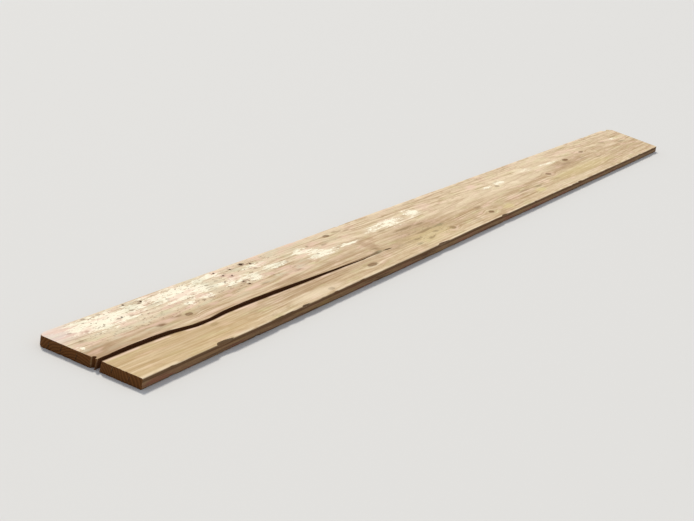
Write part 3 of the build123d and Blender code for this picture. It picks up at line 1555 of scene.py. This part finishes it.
@dataclass(frozen=True)
class WeatheredWood:
    """Sun-bleached softwood with whitewash remains, dark edges, splits darkened by painted shade, and painted
    highlights on the arrises.

    All sizes are in millimetres.

    Args:
        lie: Where the board lies.
        lanes: The bare wood's colours, each with its place from the front edge, 0, to the rear, 1.
        brown: Its dark bands, streaks and growth rings.
        dirt: Single fibres that hold dirt, and the split's rear lip.
        pale: Its bleached bands and streaks, and the painted highlight along the worn arrises.
        rosy: Its reddish tint.
        mossy: Its greenish tint.
        yellow: The stretch in front of the split.
        lavender: The near rear corner.
        lip: The split's front lip, paled as a painted highlight.
        haze: Whitewash that has worn thin.
        bare: The wood between its flakes.
        speck: The dark specks among them.
        blush: The reddish tint over them.
        sage: The greenish tint over them.
        knot: The wood of a knot.
        knot_dark: Its rings and its rim.
        edge: The long edges.
        edge_red: Their reddish blotches.
        edge_olive: Their greenish blotches.
        edge_dark: Their dark streaks, and their lower part.
        end: The end grain.
        end_pale: Its growth rings.
        inside: The walls of the splits, holes and cracks: dark wood, darkened further as painted shade in
            these recesses.
        split_mouth_shade: Painted shade on the board along the split's mouth, which makes the split's dark
            line read wider.
        chipped: The chips off the front arris.
        underside: The underside.
        nail_rust: Half the length, half the width and the strength of the rust round a nail hole.
        bolt_rust: The same, round the bolt hole.
        speck_size: Half the length and half the width of a speck.
        ring_pitch: The width of one growth ring.
        pith_from_front: How far from the front edge the rings' common middle lies.
        pith_below: How far below the underside it lies, at the near end.
        taper: How much deeper it lies with each millimetre along the board.
    """

    lie: Lie
    lanes: tuple[tuple[float, Colour], ...] = (
        (0.0, paint(214, 190, 153)), (0.09, paint(215, 190, 152)), (0.2, paint(204, 179, 143)),
        (0.33, paint(203, 178, 142)), (0.45, paint(212, 187, 152)), (0.56, paint(216, 192, 158)),
        (0.68, paint(230, 209, 175)), (0.8, paint(228, 206, 172)), (0.93, paint(226, 204, 172)),
    )
    brown: Colour = paint(172, 140, 102)
    dirt: Colour = paint(140, 110, 78)
    pale: Colour = paint(240, 220, 188)
    rosy: Colour = paint(232, 200, 176)
    mossy: Colour = paint(206, 196, 146)
    yellow: Colour = paint(204, 174, 122)
    lavender: Colour = paint(228, 206, 210)
    lip: Colour = paint(240, 210, 186)
    haze: Colour = paint(242, 231, 205)
    bare: Colour = paint(204, 178, 154)
    speck: Colour = paint(122, 90, 66)
    blush: Colour = paint(234, 198, 178)
    sage: Colour = paint(212, 206, 178)
    knot: Colour = paint(146, 112, 74)
    knot_dark: Colour = paint(78, 54, 34)
    edge: Colour = paint(148, 114, 80)
    edge_red: Colour = paint(148, 98, 74)
    edge_olive: Colour = paint(154, 122, 76)
    edge_dark: Colour = paint(88, 62, 42)
    end: Colour = paint(92, 54, 16)
    end_pale: Colour = paint(128, 82, 38)
    inside: Colour = paint(98, 54, 16)
    split_mouth_shade: Colour = paint(108, 68, 16)
    chipped: Colour = paint(104, 76, 48)
    underside: Colour = paint(164, 138, 108)
    nail_rust: tuple[float, float, float] = (10, 5.5, 0.85)
    bolt_rust: tuple[float, float, float] = (13, 8, 1.0)
    speck_size: tuple[float, float] = (9, 4.5)
    ring_pitch: float = 7.5
    pith_from_front: float = 185.0
    pith_below: float = 62.0
    taper: float = 0.022

    def material(self) -> bpy.types.Material:
        """Builds the finish as a node material.

        Returns:
            The material.
        """
        graph = Graph("weathered_wood")
        space = graph.node("ShaderNodeTexCoord", {}, {}, "Object")
        place = graph.stretch(space, (1 / MM, 1 / MM, 1 / MM), tuple(-self.lie.low / MM))
        axes = graph.parts(place)
        facing = graph.node("ShaderNodeTexCoord", {}, {}, "Normal")
        tilt = graph.parts(facing)
        grain, heart, core = self._grain(graph, place, axes)
        streaks = graph.noise(grain, (260, 6, 6), detail=3, roughness=0.6, shift=11)
        fibres = graph.noise(grain, (60, 1.4, 1.4), detail=2, shift=23)
        rings = self._rings(graph, grain)
        top = tilt[2].rise(0.35, 0.8)
        colour = self._face(graph, grain, streaks, fibres, rings)
        colour = graph.mix(colour, self._knots(graph, heart), core)
        colour = self._stains(graph, colour, place, axes, top)
        colour = self._whitewash(graph, colour, place, axes, streaks, fibres, top)
        colour = self._edges(graph, colour, place, axes, tilt, streaks, fibres, rings)
        saw = graph.noise(place, (2.4, 60, 60), detail=1, shift=51)
        relief = streaks * 0.6 + fibres * 0.3 + rings * 0.3 + saw * 0.1 + core * 0.35
        bump = graph.node("ShaderNodeBump", {}, {"Strength": 0.8, "Distance": 0.9 * MM, "Height": relief})
        roughness = 0.98 - streaks * 0.28
        values = {"Base Color": colour, "Roughness": roughness, "Normal": bump, "Specular IOR Level": 0.2}
        return graph.surface(values)

    def _grain(self, graph: Graph, place: Signal, axes: Sequence[Signal]) -> tuple[Signal, Signal, Signal]:
        """The place from which the grain is taken: it wanders, and bends round every knot.

        Args:
            graph: The material's node tree.
            place: The place on the board.
            axes: Its three parts.

        Returns:
            The grain's place, the distance to the middle of the nearest knot, and the knots' mask.
        """
        along, across, up = axes
        wander = graph.noise(place, (800, 160, 160), detail=1, shift=3) - 0.5
        bent = across + wander * 50
        frayed = self._frayed(graph, place, (16, 9, 9), (14, 7, 0))
        heart, core = None, None
        for numbers in KNOTS:
            knot = Mark(Stain.BROWN, *numbers)
            far = self._distance(graph, frayed, knot)
            bent = bent - (across - knot.across) * far.rise(4.0, 0.6) * 0.9
            mask = far.rise(1.2, 0.75) * knot.strength
            heart = far if heart is None else heart.least(far)
            core = mask if core is None else core.most(mask)
        return graph.node("ShaderNodeCombineXYZ", {}, {"X": along, "Y": bent, "Z": up}), heart, core

    def _knots(self, graph: Graph, heart: Signal) -> Signal:
        """The wood of the knots: fine rings about their middles, and a dark rim.

        Args:
            graph: The material's node tree.
            heart: The distance to the middle of the nearest knot, whose border lies at 1.

        Returns:
            The colour.
        """
        rings_in_a_knot = 3.4
        growth = (heart * rings_in_a_knot).turns().rise(0.2, 0.95) * 0.6
        rim = heart.rise(0.7, 1.0) * 0.8
        return graph.mix(self.knot, self.knot_dark, growth.most(rim))

    def _rings(self, graph: Graph, grain: Signal) -> Signal:
        """The growth rings, as circles about a pith that runs askew below the board.

        Args:
            graph: The material's node tree.
            grain: The place from which the grain is taken.

        Returns:
            A mask that is strongest where a ring ends.
        """
        along, across, up = graph.parts(grain)
        sway = graph.noise(grain, (700, 90, 90), detail=2, shift=5) - 0.5
        aside = across - self.pith_from_front + sway * 46
        above = up + self.pith_below + along * self.taper
        distance = (aside * aside + above * above) ** 0.5 + sway * 16
        turn = (distance / self.ring_pitch).turns()
        return turn.rise(0.25, 0.93) * turn.rise(1.0, 0.93)

    def _face(self, graph: Graph, grain: Signal, streaks: Signal, fibres: Signal,
              rings: Signal) -> Signal:
        """The bare wood of the faces: pale and dark lanes, with bands, streaks, rings and fibres.

        Args:
            graph: The material's node tree.
            grain: The place from which the grain is taken.
            streaks: The noise of the broad streaks.
            fibres: The noise of the single fibres.
            rings: The mask of the growth rings.

        Returns:
            The colour.
        """
        _, across, _ = graph.parts(grain)
        share = across / self.lie.width
        colour = graph.node("ShaderNodeValToRGB", {"stops": self.lanes}, {"Fac": share}, "Color")
        bands = graph.noise(grain, (620, 20, 20), detail=2, shift=61)
        tint = graph.noise(grain, (120, 28, 28), detail=3, shift=67)
        colour = graph.mix(colour, self.brown, bands.rise(0.5, 0.26) * 0.5)
        colour = graph.mix(colour, self.pale, bands.rise(0.5, 0.74) * 0.5)
        colour = graph.mix(colour, self.rosy, tint.rise(0.52, 0.7) * 0.8)
        colour = graph.mix(colour, self.mossy, tint.rise(0.47, 0.3) * 0.6)
        mottle = graph.noise(grain, (55, 15, 15), detail=4, roughness=0.65, shift=73)
        colour = graph.mix(colour, self.brown, mottle.rise(0.5, 0.3) * 0.5)
        colour = graph.mix(colour, self.pale, mottle.rise(0.52, 0.72) * 0.5)
        colour = graph.mix(colour, self.brown, streaks.rise(0.48, 0.3) * 0.85)
        colour = graph.mix(colour, self.pale, streaks.rise(0.52, 0.7) * 0.7)
        colour = graph.mix(colour, self.brown, rings * 0.35)
        return graph.mix(colour, self.dirt, fibres.rise(0.44, 0.26) * 0.45)

    def _stains(self, graph: Graph, colour: Signal, place: Signal, axes: Sequence[Signal],
                top: Signal) -> Signal:
        """Lays the stains, the split's lips with their painted highlight and painted shade, and the nails'
        rust over the top face.

        Args:
            graph: The material's node tree.
            colour: The colour so far.
            place: The place on the board.
            axes: Its three parts.
            top: The mask of the top face.

        Returns:
            The colour.
        """
        along, across, _ = axes
        frayed = self._frayed(graph, place, (60, 15, 15), (80, 20, 0))
        for mark in PATCHES:
            shape = self._distance(graph, frayed, mark).rise(1.35, 0.4)
            colour = graph.mix(colour, mark.stain.value, shape * top * mark.strength)
        corner = along.rise(140, 20) * across.rise(215, 262)
        colour = graph.mix(colour, self.lavender, corner * top * 0.7)
        before_split = across.rise(124, 100) * along.rise(620, 400)
        colour = graph.mix(colour, self.yellow, before_split * top * 0.4)
        colour = self._lips(graph, colour, place, axes, top)
        holes = Holes(self.lie)
        for from_end, from_rear in holes.nail_holes:
            rust = Mark(Stain.BROWN, from_end, self.lie.width - from_rear, *self.nail_rust)
            shape = self._distance(graph, frayed, rust).rise(1.5, 0.5)
            colour = graph.mix(colour, rust.stain.value, shape * top * rust.strength)
        from_end, from_rear = holes.bolt_hole
        rust = Mark(Stain.BROWN, from_end, self.lie.width - from_rear, *self.bolt_rust)
        return graph.mix(colour, self.inside, self._distance(graph, place, rust).rise(1.3, 0.7) * top)

    def _lips(self, graph: Graph, colour: Signal, place: Signal, axes: Sequence[Signal],
              top: Signal) -> Signal:
        """Paints a highlight on the front lip of the split and along the worn arrises, dirties the split's
        rear lip, and paints shade at the split's mouth.

        The split's path is a ramp along the board, whose red holds how far the split has wandered
        and whose green holds how wide it gapes, both as shares of the swing.

        Args:
            graph: The material's node tree.
            colour: The colour so far.
            place: The place on the board.
            axes: Its three parts.
            top: The mask of the top face.

        Returns:
            The colour.
        """
        along, across, _ = axes
        splits = Splits(self.lie)
        swing = 60.0
        stops = []
        for from_end, wander, gape in splits.path:
            stops.append((from_end / splits.length, (0.5 + wander / swing, gape / swing, 0.0, 1.0)))
        path = graph.node("ShaderNodeValToRGB", {"stops": stops}, {"Fac": along / splits.length}, "Color")
        wander, gape, _ = graph.parts(path)
        beside = across - splits.from_front - (wander - 0.5) * swing
        outside = abs(beside) - gape * (swing / 2)
        # blotchy noise that breaks up the painted highlights and the rear lip's dirt
        worn = graph.noise(place, (55, 16, 16), detail=2, shift=91).rise(0.38, 0.6)
        reach = along.rise(1200, 900) * top
        front = beside.rise(2, -2)
        # painted highlight on the split's front lip
        colour = graph.mix(colour, self.lip, outside.rise(11, 4) * front * reach * worn * 0.75)
        colour = graph.mix(colour, self.dirt, outside.rise(9, 3) * (1 - front) * reach * (1 - worn) * 0.5)
        # painted shade: the top face darkens right at the split's mouth, so the dark line reads wider than
        # the gap
        split_mouth_shade = outside.rise(3, 0.5) * along.rise(1258, 1246) * top
        colour = graph.mix(colour, self.split_mouth_shade, split_mouth_shade * 0.75)
        # painted highlight along the front arris, and along the rear arris further along the board
        arrises = across.rise(15, 4) + across.rise(284, 297) * along.rise(1100, 1500)
        return graph.mix(colour, self.pale, arrises * top * worn * 0.7)

    def _whitewash(self, graph: Graph, colour: Signal, place: Signal, axes: Sequence[Signal],
                   streaks: Signal, fibres: Signal, top: Signal) -> Signal:
        """Lays the remains of the whitewash over the top face: a thin haze, and flakes that still hold.

        Args:
            graph: The material's node tree.
            colour: The colour so far.
            place: The place on the board.
            axes: Its three parts.
            streaks: The noise of the broad streaks.
            fibres: The noise of the single fibres.
            top: The mask of the top face.

        Returns:
            The colour.
        """
        along, across, _ = axes
        frayed = self._frayed(graph, place, (38, 11, 11), (60, 14, 0))
        wash = None
        for numbers in WHITEWASH:
            mark = Mark(Stain.WHITEWASH, *numbers)
            shape = self._distance(graph, frayed, mark).rise(1.7, 0.2) * mark.strength
            wash = shape if wash is None else wash.most(shape)
        old_coat = across.rise(170, 225) * along.rise(1500, 500)
        thin = (wash * 0.8).most(old_coat * 0.5) * streaks.rise(0.2, 0.5)
        colour = graph.mix(colour, self.haze, thin * top * 0.7)
        ragged = graph.noise(place, (26, 8, 8), detail=5, roughness=0.7, shift=37)
        colour = graph.mix(colour, self.bare, ragged.rise(0.48, 0.36) * thin * top * 0.7)
        flakes = (wash * 0.85 + (ragged - 0.5) * 3.0 + (streaks - 0.5) * 1.2).rise(0.42, 0.62)
        flakes = flakes * wash.rise(0.1, 0.3) * (1 - fibres.rise(0.44, 0.3) * 0.65)
        colour = graph.mix(colour, Stain.WHITEWASH.value, flakes * top * 0.97)
        zone = across.between(170, 298, 14) * along.between(60, 960, 60)
        zone = zone.most(across.between(45, 165, 10) * along.between(1450, 1750, 40) * 0.6)
        specks = graph.noise(place, (11, 5, 5), detail=2, shift=71).rise(0.6, 0.68) * zone * 0.7
        for from_end, from_front, strength in SPECKS:
            speck = Mark(Stain.BROWN, from_end, from_front, *self.speck_size, strength)
            specks = specks.most(self._distance(graph, place, speck).rise(1.3, 0.5) * strength)
        colour = graph.mix(colour, self.speck, specks * top)
        tint = graph.noise(place, (90, 26, 26), detail=3, shift=97)
        zone = across.rise(120, 170) * along.rise(1500, 900) * top
        colour = graph.mix(colour, self.blush, tint.rise(0.5, 0.66) * zone * 0.55)
        return graph.mix(colour, self.sage, tint.rise(0.48, 0.34) * zone * 0.4)

    @staticmethod
    def _frayed(graph: Graph, place: Signal, grain: tuple[float, float, float],
                reach: tuple[float, float, float]) -> Signal:
        """The place, pushed about by noise: what is laid out from it gets a ragged outline.

        Args:
            graph: The material's node tree.
            place: The place on the board.
            grain: The size of the noise's marks.
            reach: How far the noise pushes, from one side to the other.

        Returns:
            The pushed place.
        """
        push = graph.noise(place, grain, detail=3, roughness=0.6, shift=41, output="Color")
        back = graph.stretch(place, (1, 1, 1), tuple(-part / 2 for part in reach))
        return graph.stretch(push, reach, back)

    @staticmethod
    def _distance(graph: Graph, place: Signal, mark: Mark) -> Signal:
        """How far a place lies from a mark's middle, where the mark's own border lies at 1.

        Args:
            graph: The material's node tree.
            place: The place on the board.
            mark: The mark.

        Returns:
            The distance.
        """
        scale = (1 / mark.half_length, 1 / mark.half_width, 0)
        local = graph.stretch(place, scale, (-mark.along * scale[0], -mark.across * scale[1], 0))
        return graph.node("ShaderNodeVectorMath", {"operation": "LENGTH"}, {0: local}, "Value")

    def _edges(self, graph: Graph, colour: Signal, place: Signal, axes: Sequence[Signal],
               tilt: Sequence[Signal], streaks: Signal, fibres: Signal, rings: Signal) -> Signal:
        """Darkens the underside, the long edges, the chips and the sawn ends, and paints dark wood and
        painted shade onto the walls of the splits.

        Args:
            graph: The material's node tree.
            colour: The colour so far.
            place: The place on the board.
            axes: Its three parts.
            tilt: The three parts of the direction that the surface faces.
            streaks: The noise of the broad streaks.
            fibres: The noise of the single fibres.
            rings: The mask of the growth rings.

        Returns:
            The colour.
        """
        along, across, up = axes
        colour = graph.mix(colour, self.underside, tilt[2].rise(-0.35, -0.8) * 0.75)
        blotch = graph.noise(place, (120, 30, 14), detail=3, shift=83)
        dark = graph.mix(self.edge, self.edge_red, blotch.rise(0.5, 0.68))
        dark = graph.mix(dark, self.edge_olive, blotch.rise(0.5, 0.34))
        dark = graph.mix(dark, self.edge_dark, streaks.rise(0.52, 0.3) * 0.75)
        dark = graph.mix(dark, self.edge_dark, fibres.rise(0.46, 0.3) * 0.55)
        dark = graph.mix(dark, self.brown, fibres.rise(0.55, 0.7) * 0.5)
        dark = graph.mix(dark, self.brown, up.rise(15, 26) * 0.7)
        dark = graph.mix(dark, self.edge_dark, up.rise(7, 1) * 0.5)
        colour = graph.mix(colour, dark, abs(tilt[2]).rise(0.8, 0.4))
        inset = across - up + self.lie.thickness
        chipped = inset.rise(2.8, 4.2) * across.rise(14, 9) * tilt[1].rise(-0.25, -0.5)
        torn = graph.mix(self.chipped, self.inside, streaks.rise(0.56, 0.36) * 0.7)
        colour = graph.mix(colour, torn, chipped * up.rise(16, 19) * 0.9)
        end_wood = graph.mix(self.end, self.end_pale, rings * 0.6)
        colour = graph.mix(colour, end_wood, abs(tilt[0]).rise(0.55, 0.85))
        # painted shade: the steep walls of splits and holes, and anything sunk more than a few millimetres
        # below the top face, take the dark inside colour
        within = across.between(9, 298, 1.5) * along.between(4, 4040, 2) * tilt[2].rise(-0.6, -0.2)
        recess_shade = (1 - tilt[2]).rise(0.25, 0.6).most(up.rise(25, 22))
        # painted shade on the upward-facing floors of the end cracks, close to the near end
        crack = tilt[2].rise(0.5, 0.8) * up.rise(18, 15) * along.rise(60, 40)
        return graph.mix(colour, self.inside, (within * recess_shade * 0.9).most(crack))


@dataclass
class Studio:
    """The plain studio: a pale floor, soft lights and the camera. Places are in metres.

    Args:
        eye: Where the camera stands.
        target: Where it looks.
        roll: How far it is turned about its line of sight, in degrees.
        lens: Its focal length in millimetres.
        floor_size: The length of the floor's sides.
        floor_colour: The floor's colour.
        key_from: The direction that the key light comes from.
        key_angle: How wide it looks from the board, in degrees; wider is softer.
        key_strength: Its strength.
        key_colour: Its colour.
        room_strength: The strength of the room's even light.
        room_colour: Its colour.
    """

    eye: tuple[float, float, float] = (-4.0354, -1.5574, 1.1696)
    target: tuple[float, float, float] = (-0.961, -0.022, 0.014)
    roll: float = 10.0
    lens: float = 62.8
    floor_size: float = 90.0
    floor_colour: Colour = (0.7, 0.69, 0.67, 1.0)
    key_from: tuple[float, float, float] = (2.6, 3.6, 5.4)
    key_angle: float = 11.0
    key_strength: float = 2.45
    key_colour: tuple[float, float, float] = (1.0, 0.955, 0.87)
    room_strength: float = 0.55
    room_colour: Colour = (0.86, 0.91, 1.0, 1.0)

    def build(self) -> None:
        """Sets up the studio."""
        self._floor()
        self._key()
        self._room()
        self._camera()

    def _floor(self) -> None:
        """Lays the pale floor."""
        Bench.clear()
        bpy.ops.mesh.primitive_plane_add(size=self.floor_size, location=(0, 0, 0))
        floor = bpy.context.active_object
        floor.name = "studio_floor"
        graph = Graph("studio_floor")
        floor.data.materials.append(graph.surface({"Base Color": self.floor_colour, "Roughness": 0.9}))

    def _key(self) -> None:
        """Hangs the soft key light, far off, behind the board and to its right."""
        Bench.clear()
        bpy.ops.object.light_add(type="SUN", location=self.key_from)
        light = bpy.context.active_object
        light.name = "key"
        light.rotation_euler = (-Vector(self.key_from)).to_track_quat("-Z", "Y").to_euler()
        light.data.angle = math.radians(self.key_angle)
        light.data.energy = self.key_strength
        light.data.color = self.key_colour

    def _room(self) -> None:
        """Gives the room its even pale light."""
        world = bpy.data.worlds.new("studio")
        world.use_nodes = True
        background = world.node_tree.nodes["Background"]
        background.inputs["Color"].default_value = self.room_colour
        background.inputs["Strength"].default_value = self.room_strength
        bpy.context.scene.world = world
        bpy.context.scene.view_settings.view_transform = "Standard"

    def _camera(self) -> None:
        """Places the camera at the photograph's viewing angle."""
        Bench.clear()
        bpy.ops.object.camera_add(location=self.eye)
        camera = bpy.context.active_object
        camera.name = "camera"
        aim = (Vector(self.target) - Vector(self.eye)).to_track_quat("-Z", "Y")
        camera.rotation_euler = (aim @ Quaternion((0, 0, 1), math.radians(self.roll))).to_euler()
        camera.data.lens = self.lens
        camera.data.dof.use_dof = False
        bpy.context.scene.camera = camera


def dress(piece: bpy.types.Object, material: bpy.types.Material) -> None:
    """Gives a piece its material and its body, and hides the plain solid.

    Args:
        piece: The finished mesh.
        material: Its finish.
    """
    piece.data.materials.clear()
    piece.data.materials.append(material)
    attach(piece, "root")
    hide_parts("plank")


def main() -> None:
    """Builds the board and the studio, and reports them."""
    logging.basicConfig(level=logging.INFO, format="%(name)s: %(message)s")
    low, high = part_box("plank")
    lie = Lie(Vector(low), Vector(high))
    piece = Board(lie).build()
    dress(piece, WeatheredWood(lie).material())
    triangles = sum(len(face.vertices) - 2 for face in piece.data.polygons)
    LOG.info("%s: %d triangles", piece.name, triangles)
    Studio().build()


if __name__ == "__main__":
    main()
